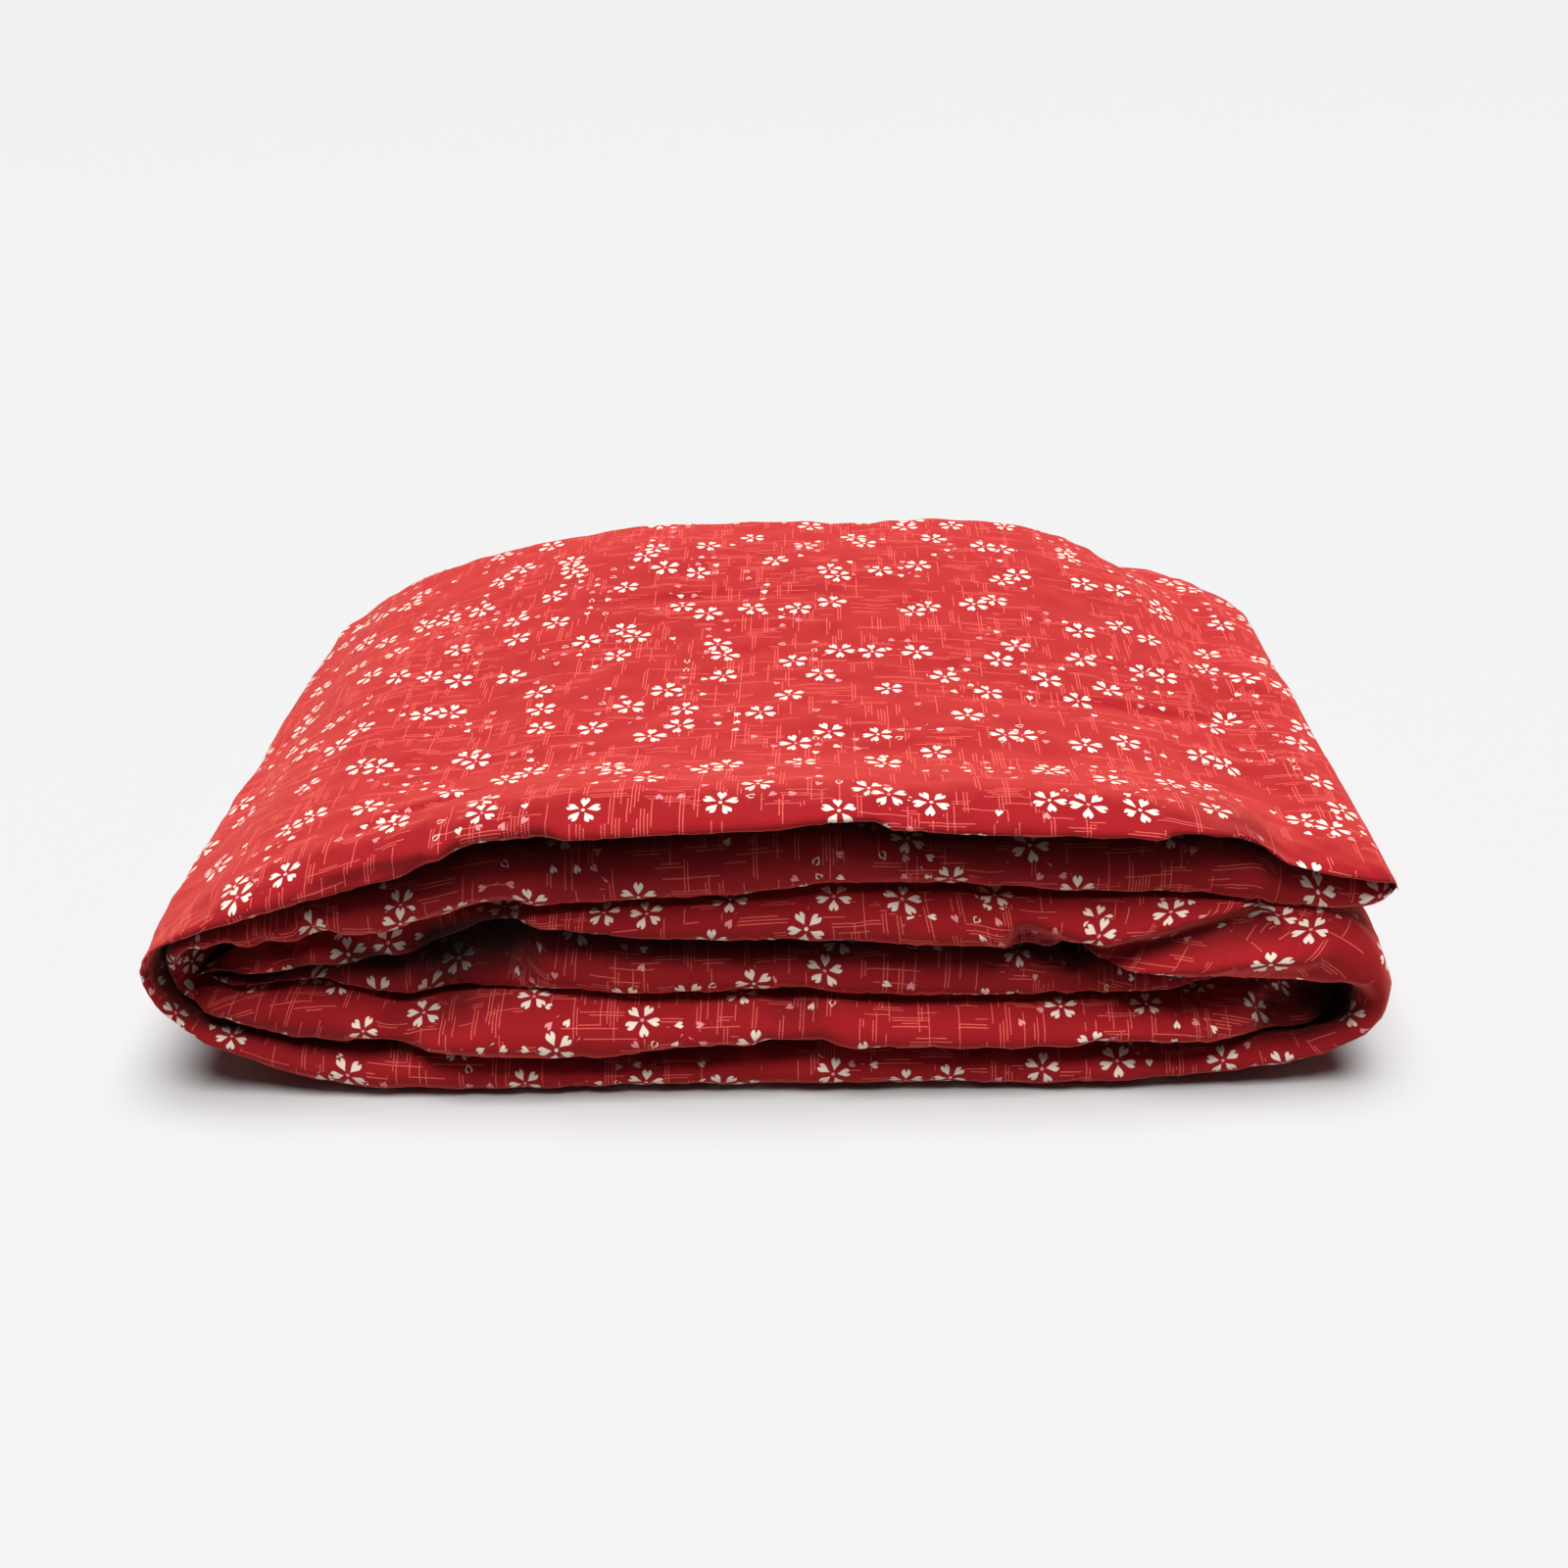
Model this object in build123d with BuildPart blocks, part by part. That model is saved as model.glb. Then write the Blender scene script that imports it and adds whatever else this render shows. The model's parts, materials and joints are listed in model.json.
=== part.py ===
from build123d import *

import os
from math import cos, radians, sin

# A single futon mattress, folded away. It is one long padded strip in a printed cover,
# doubled along its length, with the doubling fold at the back, and then folded in three:
# the bottom third lies on the floor, the middle third is turned over it from the right,
# and the top third is turned over both from the left. The top third can be unfolded.
#
# X runs along the front, Y from the front to the back, Z up. The origin is on the floor
# under the middle of the pile. All lengths are in millimetres.

# ---- driving dimensions -------------------------------------------------------------
width = 670.0  # over the two folded sides
depth = 500.0  # half of the mattress's width of 1 m
pitch = 29.0  # from one layer to the next, six layers high
layer_gap = 0.4  # air between two layers
cover_thickness = 1.0  # printed cotton
ticking_thickness = 0.8  # plain cotton bag round the filling
cloth_gap = 0.2  # between the cover and the ticking, and the ticking and the wadding
core_inset = 8.0  # from a layer's skin to the firm core
middle_end = -235.0  # where the middle third's free end stops, inside the left fold
end_round = 9.0  # rounding of a free end
end_pocket = 7.0  # room at a free end for the knots of the corner ties
corner_angle = 45.0  # the part of the left fold's half turn that stays with each third
mitre_angle = 0.4  # opening of each mitre in the left fold

# ---- worked out from them -----------------------------------------------------------
half_layer = (pitch - layer_gap) / 2
height = 6 * pitch - layer_gap
front_centre = -depth / 2 + half_layer  # centre of the rolled front edges
back_centre = depth / 2 - half_layer - pitch / 2  # centre of the doubling fold
left_radius = height / 2
left_x = -width / 2 + left_radius  # where the left fold starts
left_axis = Axis((left_x, 0, left_radius), (0, 1, 0))
right_radius = (4 * pitch - layer_gap) / 2
right_x = width / 2 - right_radius  # where the right fold starts
right_axis = Axis((right_x, 0, right_radius), (0, -1, 0))
top_end = width / 2  # free end of the top third
ticking_inset = cover_thickness + cloth_gap
wadding_inset = ticking_inset + ticking_thickness + cloth_gap


def layer_centre(index):
    """Height of the middle of a layer, counted from 0 at the floor."""
    return half_layer + index * pitch


def strip_section(x, lower_layer, inset):
    """The strip cut across at x: two layers open at the front, joined by the back fold."""
    low = layer_centre(lower_layer)
    with BuildSketch(Plane.YZ.offset(x)) as section:
        with BuildLine():
            lower = Line((front_centre, low), (back_centre, low))
            turn = JernArc(lower @ 1, lower % 1, pitch / 2, 180)
            Line(turn @ 1, (front_centre, low + pitch))
            offset(amount=half_layer - inset)
        make_face()
    return section.sketch


def run_form(x_from, x_to, lower_layer, inset):
    """A straight stretch of the strip, shrunk by inset all round its section."""
    section = strip_section(x_from, lower_layer, inset)
    with BuildPart() as form:
        extrude(section, amount=x_to - x_from)
    return form.part


def free_run_form(x_from, x_end, lower_layer, inset, pocket):
    """A straight stretch that stops in a closed, rounded end, shrunk by inset there too."""
    section = strip_section(x_from, lower_layer, inset)
    to_right = x_end > x_from
    length = abs(x_end - x_from) - inset - pocket
    with BuildPart() as form:
        extrude(section, amount=length if to_right else -length)
        end_face = faces().sort_by(Axis.X)[-1 if to_right else 0]
        fillet(end_face.edges(), end_round - inset)
    return form.part


def turn_form(x, axis, start, arc, inset):
    """The strip carried round a fold, from one angle through an arc, both in degrees."""
    section = strip_section(x, 0, inset)
    with BuildPart() as form:
        revolve(section.rotate(axis, start), axis, arc)
    return form.part


def tie_group(lower_layer, x_from, x_to):
    """Stitches through the filling of two layers, on a grid of two by two in each."""
    spacing = (x_to - x_from) / 2
    length = 2 * (half_layer - ticking_inset)
    with BuildPart() as group:
        for index in (lower_layer, lower_layer + 1):
            with Locations(((x_from + x_to) / 2, 0, layer_centre(index))):
                with GridLocations(spacing, tie_spacing_y, 2, 2):
                    Cylinder(tie_radius, length)
    return group.part


def save(piece, name):
    """Label a piece and write it to its own file."""
    piece.label = name
    export_step(piece, f"parts/{name}.step")


os.makedirs("parts", exist_ok=True)

# ---- stitches through the filling ---------------------------------------------------
tie_radius = 1.0
tie_spacing_y = 220.0
ties = {
    "bottom": tie_group(0, left_x, right_x),
    "middle": tie_group(2, middle_end, right_x),
    "top": tie_group(4, left_x, top_end),
}
for name, group in ties.items():
    save(group, f"{name}_filling_stitches")

# ---- zip across the middle third's free end -----------------------------------------
zip_z = layer_centre(3)
zip_stand = 4.0  # from the cover's end to the tapes
zip_x = middle_end - zip_stand
zip_front, zip_back = -165.0, 206.0
tape_thickness = 0.6
tape_reach = 9.5  # from the middle of the zip to the seam with the cover
coil_half_width = 2.4
coil_half_gap = 0.6  # between the two coils, where the slider's neck runs
coil_thickness = 2.4
zip_middle = (zip_front + zip_back) / 2
zip_length = zip_back - zip_front

for name, side in (("zip_tape_upper", 1), ("zip_tape_lower", -1)):
    edge = tape_reach * side
    with BuildPart() as tape:
        with BuildSketch(Plane.XZ.offset(-zip_back)):
            with BuildLine():
                seam = (middle_end, zip_z + edge)
                corner = (zip_x, zip_z + edge)
                Polyline(seam, corner, (zip_x, zip_z + coil_half_width * side))
                offset(amount=tape_thickness / 2, kind=Kind.INTERSECTION)
            make_face()
        extrude(amount=zip_length)
        split(bisect_by=Plane.YZ.offset(middle_end), keep=Keep.BOTTOM)
        with Locations((zip_x, zip_middle, zip_z)):
            Box(coil_thickness, zip_length, 2 * coil_half_width, mode=Mode.SUBTRACT)
    save(tape.part, name)

coil_width = coil_half_width - coil_half_gap
coil_offset = (coil_half_width + coil_half_gap) / 2
for name, side in (("zip_coil_upper", 1), ("zip_coil_lower", -1)):
    with BuildPart() as coil:
        with Locations((zip_x, zip_middle, zip_z + coil_offset * side)):
            Box(coil_thickness, zip_length, coil_width)
        fillet(edges().filter_by(Axis.Y), 0.5)
    save(coil.part, name)

stop_length = 3.0
with BuildPart() as zip_stops:
    for place in (zip_front + stop_length, zip_back - stop_length):
        with Locations((zip_x, place, zip_z)):
            Box(coil_thickness + 1.2, stop_length, 2 * coil_half_width + 1.2)
            Box(coil_thickness, stop_length, 2 * coil_half_width, mode=Mode.SUBTRACT)
            Box(tape_thickness, stop_length, 2 * tape_reach, mode=Mode.SUBTRACT)
            Box(coil_thickness, stop_length, 2 * coil_half_gap)
save(zip_stops.part, "zip_end_stops")

slider_length = 12.0
slider_width = 9.0
slider_wall = 1.5
run_clearance = 0.4
slider_y = zip_back - 2 * stop_length - slider_length / 2 - 1.0
slider_face = zip_x - coil_thickness / 2 - run_clearance - slider_wall
slider_back = zip_x + coil_thickness / 2 + run_clearance + slider_wall
neck_length = 4.0
neck_thickness = 0.6
bridge_rise = 4.0
bridge_length = 8.0
bridge_width = 1.6
eye_half_length = 2.0
eye_low, eye_high = 0.4, 2.8  # height of the bridge's eye above the slider's face

with BuildPart() as zip_slider:
    with Locations(((slider_face + slider_back) / 2, slider_y, zip_z)):
        Box(slider_back - slider_face, slider_length, slider_width)
        fillet(edges().filter_by(Axis.X), 2.5)
        channel = 2 * coil_half_width + 2 * run_clearance
        Box(coil_thickness + 2 * run_clearance, slider_length, channel, mode=Mode.SUBTRACT)
        Box(tape_thickness + 2 * run_clearance, slider_length, slider_width, mode=Mode.SUBTRACT)
        Box(slider_back - slider_face, neck_length, neck_thickness)
    with Locations((slider_face - bridge_rise / 2, slider_y, zip_z)):
        Box(bridge_rise, bridge_length, bridge_width)
    fillet(faces().sort_by(Axis.X)[0].edges().filter_by(Axis.Z), 1.5)
    with Locations((slider_face - (eye_low + eye_high) / 2, slider_y, zip_z)):
        Box(eye_high - eye_low, 2 * eye_half_length, bridge_width, mode=Mode.SUBTRACT)
save(zip_slider.part, "zip_slider")

pull_pin_radius = 0.6
pull_width = 7.0
pull_length = 24.0
pull_x = slider_face - (eye_low + eye_high) / 2
slot_length = bridge_length / 2 + 1.0
slot_width = bridge_width + 0.7
with BuildPart() as zip_pull:
    with BuildSketch(Plane.YZ.offset(pull_x - pull_pin_radius)):
        with Locations((slider_y - pull_length / 2, zip_z)):
            RectangleRounded(pull_length, pull_width, 2.0)
        with Locations((slider_y - slot_length / 2 - pull_pin_radius, zip_z)):
            Rectangle(slot_length, slot_width, mode=Mode.SUBTRACT)
    extrude(amount=2 * pull_pin_radius)
save(zip_pull.part, "zip_pull_tab")

# ---- ties at the corners of the free ends, between the cover and the ticking --------
tie_tape_width = 8.0
tie_tape_thickness = 1.0
tie_tape_length = 16.0
tie_corner_y = 190.0


def corner_ties(x, lower_layer):
    """Two knotted tape ends in each of two layers, flat against the end of the ticking."""
    with BuildPart() as group:
        for index in (lower_layer, lower_layer + 1):
            with Locations((x, 0, layer_centre(index))):
                with GridLocations(1, 2 * tie_corner_y, 1, 2):
                    Box(tie_tape_thickness, tie_tape_length, tie_tape_width)
                    Box(3 * tie_tape_thickness, tie_tape_width / 2, tie_tape_width / 2)
    return group.part


pocket_middle = cover_thickness + end_pocket / 2
save(corner_ties(middle_end + pocket_middle, 2), "middle_corner_ties")
save(corner_ties(top_end - pocket_middle, 4), "top_corner_ties")

# ---- cover, ticking, wadding and core of each part of the strip ---------------------
mitre = corner_angle + mitre_angle
forms = {
    "bottom": lambda inset, pocket: run_form(left_x, right_x, 0, inset),
    "right_fold": lambda inset, pocket: turn_form(right_x, right_axis, 0, 180, inset),
    "middle": lambda inset, pocket: free_run_form(right_x, middle_end, 2, inset, pocket),
    "left_fold_lower": lambda inset, pocket: turn_form(
        left_x, left_axis, 0, corner_angle, inset
    ),
    "left_fold_middle": lambda inset, pocket: turn_form(
        left_x, left_axis, mitre, 180 - 2 * mitre, inset
    ),
    "left_fold_upper": lambda inset, pocket: turn_form(
        left_x, left_axis, 180 - corner_angle, corner_angle, inset
    ),
    "top": lambda inset, pocket: free_run_form(left_x, top_end, 4, inset, pocket),
}
for name, form in forms.items():
    cover_skin, cover_lining = form(0, 0), form(cover_thickness, 0)
    ticking_skin = form(ticking_inset, end_pocket)
    ticking_lining = form(ticking_inset + ticking_thickness, end_pocket)
    wadding_skin = form(wadding_inset, end_pocket)
    core_skin = form(core_inset, end_pocket)

    with BuildPart() as cover:
        add(cover_skin)
        add(cover_lining, mode=Mode.SUBTRACT)
        if name == "middle":
            with Locations((middle_end, zip_middle, zip_z)):
                Box(2.5 * cover_thickness, zip_length, 1.5 * tape_reach, mode=Mode.SUBTRACT)
    save(cover.part, f"{name}_cover")

    with BuildPart() as ticking:
        add(ticking_skin)
        add(ticking_lining, mode=Mode.SUBTRACT)
        if name in ties:
            add(ties[name], mode=Mode.SUBTRACT)
    save(ticking.part, f"{name}_ticking")

    with BuildPart() as wadding:
        add(wadding_skin)
        add(core_skin, mode=Mode.SUBTRACT)
        if name in ties:
            add(ties[name], mode=Mode.SUBTRACT)
    save(wadding.part, f"{name}_wadding")

    with BuildPart() as core:
        add(core_skin)
        if name in ties:
            add(ties[name], mode=Mode.SUBTRACT)
    save(core.part, f"{name}_core")

# ---- hinge lines of the left fold, on its outer skin at the two corners -------------
hinge_x = left_x - left_radius * sin(radians(corner_angle))
hinge_rise = left_radius * cos(radians(corner_angle))
print(f"lower hinge at x {hinge_x:.2f}, z {left_radius - hinge_rise:.2f}")
print(f"upper hinge at x {hinge_x:.2f}, z {left_radius + hinge_rise:.2f}")
print(f"slider at y {slider_y:.2f}, travel {slider_y - zip_front - 2 * stop_length - slider_length:.2f}")
print(f"pull pin at x {pull_x:.2f}, y {slider_y:.2f}, z {zip_z:.2f}")
print(f"height {height:.2f}")
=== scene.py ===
# %% [markdown]
# # A folded futon mattress in a blossom-print cover
#
# The mattress is one long padded strip. It is doubled along its length, which puts a
# fold at the back and two open edges at the front, and then folded in three like a
# letter. Six soft rolls show at the front.
#
# A cloth simulation could drape such a pile, or it could be sculpted by hand, but both
# are hard to steer and to repeat. Here the whole pile is one surface, worked out from a
# few curves, so that every layer knows where its neighbours are. The frame gives the
# size, the bodies and the joints. The cells below give the cloth its shape, its print
# and its light.

# %% Load the frame
import json
import math

import bpy
import numpy as np
from mathutils import Matrix, Vector

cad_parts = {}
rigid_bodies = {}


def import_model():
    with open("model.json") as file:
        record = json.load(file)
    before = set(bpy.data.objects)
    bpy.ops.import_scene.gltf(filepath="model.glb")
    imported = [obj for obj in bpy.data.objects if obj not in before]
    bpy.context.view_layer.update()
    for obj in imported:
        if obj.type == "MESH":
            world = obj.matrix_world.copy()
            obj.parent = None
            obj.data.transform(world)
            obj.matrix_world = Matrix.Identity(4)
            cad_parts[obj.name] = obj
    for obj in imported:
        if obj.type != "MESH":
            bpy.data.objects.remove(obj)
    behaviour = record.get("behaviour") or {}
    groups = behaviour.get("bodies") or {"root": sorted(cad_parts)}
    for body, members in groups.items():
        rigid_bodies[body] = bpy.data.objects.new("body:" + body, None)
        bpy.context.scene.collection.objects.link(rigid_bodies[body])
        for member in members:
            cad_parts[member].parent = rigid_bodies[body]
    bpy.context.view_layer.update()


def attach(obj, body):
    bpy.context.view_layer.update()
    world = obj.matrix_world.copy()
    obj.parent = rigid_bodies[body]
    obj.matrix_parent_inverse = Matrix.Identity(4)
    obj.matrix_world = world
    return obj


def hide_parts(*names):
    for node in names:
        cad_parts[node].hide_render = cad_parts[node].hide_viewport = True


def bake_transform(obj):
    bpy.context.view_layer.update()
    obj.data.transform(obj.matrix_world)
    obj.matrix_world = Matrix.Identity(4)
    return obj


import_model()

MM = 0.001  # shapes are worked out in millimetres, and meshes are in metres

# %% [markdown]
# ## The strip's path
#
# Three lines run along the strip. The outer skin is on the outside of every fold, the
# inner skin on the inside, and the middle line is the slit between the two layers. Each
# station below names the three points, x and z in millimetres, that lie on one cut
# across the strip. They start at the top third's free end, run left over the top, round
# the left fold, right along the floor, round the right fold and back to the middle
# third's free end. The front of a soft pile is not the same as its inside, so the lines
# are given twice: as they lie at the open front, and as they lie deeper in. Separate
# cushions would be simpler, but they would run into each other where the pile is tight.

# %% Stations at the front edges
FRONT = np.array([
    # outer skin   middle line   inner skin
    (330, 118, 330, 118, 330, 118),  # top third's free end
    (327, 127, 329, 119, 326, 111),
    (311, 134, 312, 123, 308, 106),
    (280, 139, 280, 131, 278, 107),
    (244, 155, 243, 149, 240, 110),
    (200, 166, 200, 150, 200, 112),
    (140, 172, 140, 152, 140, 115),
    (80, 175, 80, 156, 80, 117),
    (40, 176, 40, 163, 40, 120),
    (-10, 176, -10, 158, -10, 116),
    (-60, 175, -60, 155, -60, 112),
    (-105, 172, -105, 153, -105, 109),
    (-142, 167, -142, 151, -146, 105),
    (-190, 158, -190, 131, -190, 98),
    (-235, 144, -235, 119, -235, 95),
    (-275, 126, -275, 109, -275, 89),
    (-306, 106, -304, 99, -302, 84),
    (-326, 90, -319, 90, -313, 77),
    (-334, 74, -323, 78, -314, 70),  # nose of the left fold
    (-331, 58, -318, 62, -311, 60),
    (-318, 40, -308, 50, -299, 60),
    (-285, 20, -277, 39, -270, 60),
    (-245, 7, -245, 31, -235, 56),
    (-190, 0, -190, 28, -190, 48),
    (-130, 0, -130, 26, -130, 56),
    (-60, 0, -60, 26, -60, 56),
    (15, 0, 15, 31, 18, 55),
    (90, 0, 90, 29, 90, 52),
    (165, 0, 165, 27, 165, 50),
    (222, 1, 222, 27, 222, 50),
    (268, 8, 262, 28, 256, 54),
    (306, 18, 292, 28, 276, 54),
    (328, 34, 309, 34, 284, 55),
    (335, 48, 316, 43, 286, 57),  # nose of the right fold
    (334, 62, 316, 54, 283, 59),
    (327, 84, 300, 62, 275, 60),
    (308, 102, 268, 65, 255, 59),
    (275, 110, 225, 69, 225, 52),
    (225, 111, 190, 74, 190, 51),
    (165, 112, 160, 80, 160, 51),
    (110, 115, 118, 86, 115, 52),
    (55, 118, 57, 88, 55, 55),
    (0, 115, 0, 90, 0, 57),
    (-60, 110, -60, 91, -60, 57),
    (-105, 107, -105, 95, -110, 57),
    (-145, 103, -140, 92, -150, 54),
    (-190, 95, -190, 74, -190, 50),
    (-235, 88, -235, 72, -235, 57),
    (-275, 80, -275, 70, -275, 61),
    (-300, 70, -300, 67, -300, 63),
    (-308, 66, -308, 66, -308, 66),  # middle third's free end
], float)

# %% Stations inside the pile
DEEP = FRONT.copy()
DEEP_STATIONS = {
    # station: outer x, z, middle x, z, inner x, z
    0: (331, 118, 331, 118, 331, 118),
    1: (328, 127, 330, 119, 328, 112),
    2: (312, 136, 312, 124, 308, 112),
    17: (-326, 94, -314, 92, -292, 92),
    18: (-334, 76, -318, 78, -294, 80),
    19: (-332, 60, -314, 62, -292, 68),
    45: (-150, 115, -150, 87, -150, 59),
    46: (-190, 115, -190, 87, -190, 59),
    47: (-220, 115, -220, 87, -220, 59),
    48: (-229, 113, -229, 87, -229, 61),
    49: (-232, 108, -232, 87, -232, 66),
    50: (-232, 101, -232, 101, -232, 101),
}
for station, values in DEEP_STATIONS.items():
    DEEP[station] = values

# between the named stations each third lies level: the heights in mm of its faces
BOTTOM_ROOF = 57
MIDDLE_FLOOR, MIDDLE_ROOF = 59, 115
TOP_FLOOR = 117
for station in range(3, 17):
    past_bend = max(0, -DEEP[station, 4] - 255)
    DEEP[station, 5] = TOP_FLOOR - 0.33 * past_bend
    DEEP[station, 3] = (DEEP[station, 1] + DEEP[station, 5]) / 2
for station in range(20, 31):
    DEEP[station, 5] = BOTTOM_ROOF
    DEEP[station, 3] = (DEEP[station, 1] + BOTTOM_ROOF) / 2
for station in range(36, 45):
    DEEP[station, 1] = MIDDLE_ROOF
    DEEP[station, 3] = (MIDDLE_ROOF + MIDDLE_FLOOR) / 2
    DEEP[station, 5] = MIDDLE_FLOOR
print(len(FRONT), "stations along the strip,", len(DEEP_STATIONS), "of them named again deeper in")

# %% [markdown]
# The lines are carried through the stations by a smooth curve, and the strip is cut
# into steps of one length, so that the cloth has even faces and an undistorted print.
# Blender's own curve objects could do this too, but then three curves would have to be
# kept in step. One table with one formula keeps all three lines together.

# %% Curves through the stations
mean_line = (FRONT[:, 0:2] + FRONT[:, 2:4]) / 2
knots = np.r_[0, np.cumsum(np.hypot(*np.diff(mean_line, axis=0).T) + 0.5)]


def along(table, s):
    """Cubic Hermite curve through the table's rows, at distances s, slopes from neighbours."""
    row = np.clip(np.searchsorted(knots, s, side="right") - 1, 0, len(knots) - 2)
    length = (knots[row + 1] - knots[row])[:, None]
    t = (s[:, None] - knots[row][:, None]) / length
    slope = np.gradient(table, knots, axis=0)
    return (
        (2 * t**3 - 3 * t**2 + 1) * table[row]
        + (t**3 - 2 * t**2 + t) * length * slope[row]
        + (3 * t**2 - 2 * t**3) * table[row + 1]
        + (t**3 - t**2) * length * slope[row + 1]
    )


def smooth(t):
    """The smooth step: 0 below 0, 1 above 1, and 3 t squared less 2 t cubed between."""
    t = np.clip(t, 0, 1)
    return t * t * (3 - 2 * t)


def bump(x, centre, half_width):
    """A smooth hump of height 1 that falls to 0 at half_width from its centre."""
    return smooth(1 - np.abs((x - centre) / half_width))


top_run_end = knots[16]
left_nose = knots[18]
left_fold_start, left_fold_end = knots[14], knots[22]
strip_end = knots[-1]
print(f"strip length along its middle {strip_end:.0f} mm")

# %% [markdown]
# ## The rolled front edges
#
# Each layer ends at the front in a soft roll. The roll sags, so it comes forward low
# down, curls under in a crisp edge, and falls back softly above. A row gives, at a
# station: how far behind the very front the roll stays, the share of the layer's
# height at which it is most forward, and how deep its two rounded shoulders are, first
# towards the slit or the inner skin, then towards the other side. A bevel would round
# every edge alike; with a table, each roll sags in its own way.

# %% Roll shapes along the strip
OUTER_ROLL = np.array([
    # station, behind the front, most forward at, reach at the slit, reach at the skin
    (0, 10, 0.5, 4, 4), (2, 5, 0.45, 9, 14), (5, 0, 0.3, 9, 34), (12, 0, 0.3, 9, 36),
    (15, 1, 0.35, 9, 30), (17, 8, 0.5, 8, 16), (18, 12, 0.5, 8, 12), (21, 8, 0.55, 14, 12),
    (24, 6, 0.62, 30, 14), (29, 5, 0.62, 30, 14), (33, 9, 0.5, 9, 12), (35, 2, 0.5, 10, 14),
    (38, 0, 0.42, 9, 24), (40, 7, 0.35, 8, 26), (42, 10, 0.35, 9, 26), (44, 14, 0.35, 9, 20),
    (46, 26, 0.4, 12, 12), (48, 14, 0.5, 8, 10), (50, 20, 0.5, 5, 5),
])
INNER_ROLL = np.array([
    # station, behind the front, most forward at, reach at the skin, reach at the slit
    (0, 14, 0.5, 4, 4), (2, 12, 0.45, 7, 12), (5, 18, 0.26, 6, 48), (12, 18, 0.26, 6, 48),
    (15, 10, 0.4, 7, 24), (18, 24, 0.5, 7, 9), (21, 12, 0.5, 10, 9), (24, 0, 0.68, 30, 7),
    (29, 0, 0.68, 30, 7), (31, 16, 0.5, 14, 9), (33, 34, 0.5, 9, 9), (35, 30, 0.5, 9, 9),
    (38, 18, 0.3, 8, 22), (40, 14, 0.28, 7, 34), (43, 13, 0.28, 7, 36), (45, 22, 0.35, 10, 32),
    (47, 30, 0.4, 12, 18), (48, 20, 0.5, 12, 14), (50, 24, 0.5, 5, 5),
])


print(len(OUTER_ROLL), "roll shapes for the outer layer,", len(INNER_ROLL), "for the inner")


def roll_shape(table, s):
    """The four roll numbers at distances s, eased from one named station to the next."""
    places = knots[table[:, 0].astype(int)]
    row = np.clip(np.searchsorted(places, s, side="right") - 1, 0, len(places) - 2)
    t = smooth((s - places[row]) / (places[row + 1] - places[row]))[:, None]
    return (table[row, 1:] * (1 - t) + table[row + 1, 1:] * t).T


# %% [markdown]
# ## One surface for the whole strip
#
# The strip is a surface of two parameters: the distance along it, and the way round
# its cut. The way round goes up the outer layer's roll, back along the outer skin,
# round the doubling fold at the back, forward along the inner skin, down the inner
# layer's roll, into the slit and out again. The same function also makes the ticking
# and the filling inside, by drawing the lines together.
#
# First come the details that make the pile look handled: a trough and creases in the
# top, and pinches in the front, where the cloth is pulled in between two puffs.

# %% Sizes of the doubled strip, in mm
HALF_DEPTH = 250.0
BACK_REACH = 29.0  # how far the doubling fold rounds out
SLIT_DEPTH = 85.0  # how far in the slit between the two layers goes
SLIT_GAP = 1.2  # between the two layers deep in the slit
SLIT_OPENS = 1.6  # and more than that at the front
SKIN_GAP = 0.5  # between one third and the next
SKIN_OPENS = 1.1
CORNER_SLANT = 46  # how far the top's back right corner is drawn in
CORNER_DROP = 9

# %% The trough and the creases in the top
TROUGH_DEPTH = 15.0
RIGHT_CREASE, LEFT_CREASE, FAN_CREASE = 4.0, 3.5, 3.5


def dent(s, y, x):
    """How far the top's skin sinks: a shallow trough behind the front roll, and creases."""
    over_top = smooth((x + 250) / 90) * smooth((300 - x) / 70)
    trough = smooth((y + 234) / 95) * smooth((190 - y) / 260)
    crease_right = bump(y + 62 - 0.06 * (x - 200), 0, 10) * bump(x, 215, 110)
    crease_left = bump(y - 85 - 0.03 * x, 0, 8) * bump(x, -40, 110)
    fan = bump(y + 205 - 0.5 * (x + 190), 0, 9) * bump(x, -175, 60)
    creases = RIGHT_CREASE * crease_right + LEFT_CREASE * crease_left + FAN_CREASE * fan
    return over_top * (TROUGH_DEPTH * trough) + creases


middle_of_top = dent(0, 0.0, 0.0)
print(f"the top sinks {middle_of_top:.1f} mm in its middle")

# %% The pinches along the front
PINCHES = [
    # from x, z, to x, z, half width, how far it is pushed in (mm)
    (-150, 150, -110, 157, 9, 9), (-225, 132, -170, 146, 6, 4), (-90, 150, 60, 158, 6, 5),
    (215, 150, 262, 147, 8, 9), (30, 158, 60, 162, 7, 6), (165, 79, 262, 100, 8, 15),
    (150, 72, 290, 86, 7, -5), (140, 92, 168, 84, 9, 14), (-175, 88, -135, 100, 14, 16),
    (-170, 62, -135, 76, 16, 15), (12, 53, 26, 52, 9, 8), (8, 30, 30, 32, 10, 8),
    (275, 44, 312, 52, 11, 15), (-302, 66, -282, 84, 9, 12), (-215, 28, -190, 34, 9, 7),
    (-235, 100, -200, 72, 8, 7), (-262, 96, -236, 66, 7, 5), (60, 118, 110, 116, 7, 4),
    (-60, 26, -20, 27, 7, 5), (180, 27, 230, 26, 8, 6), (-200, 45, -160, 50, 7, 6),
]


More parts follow.
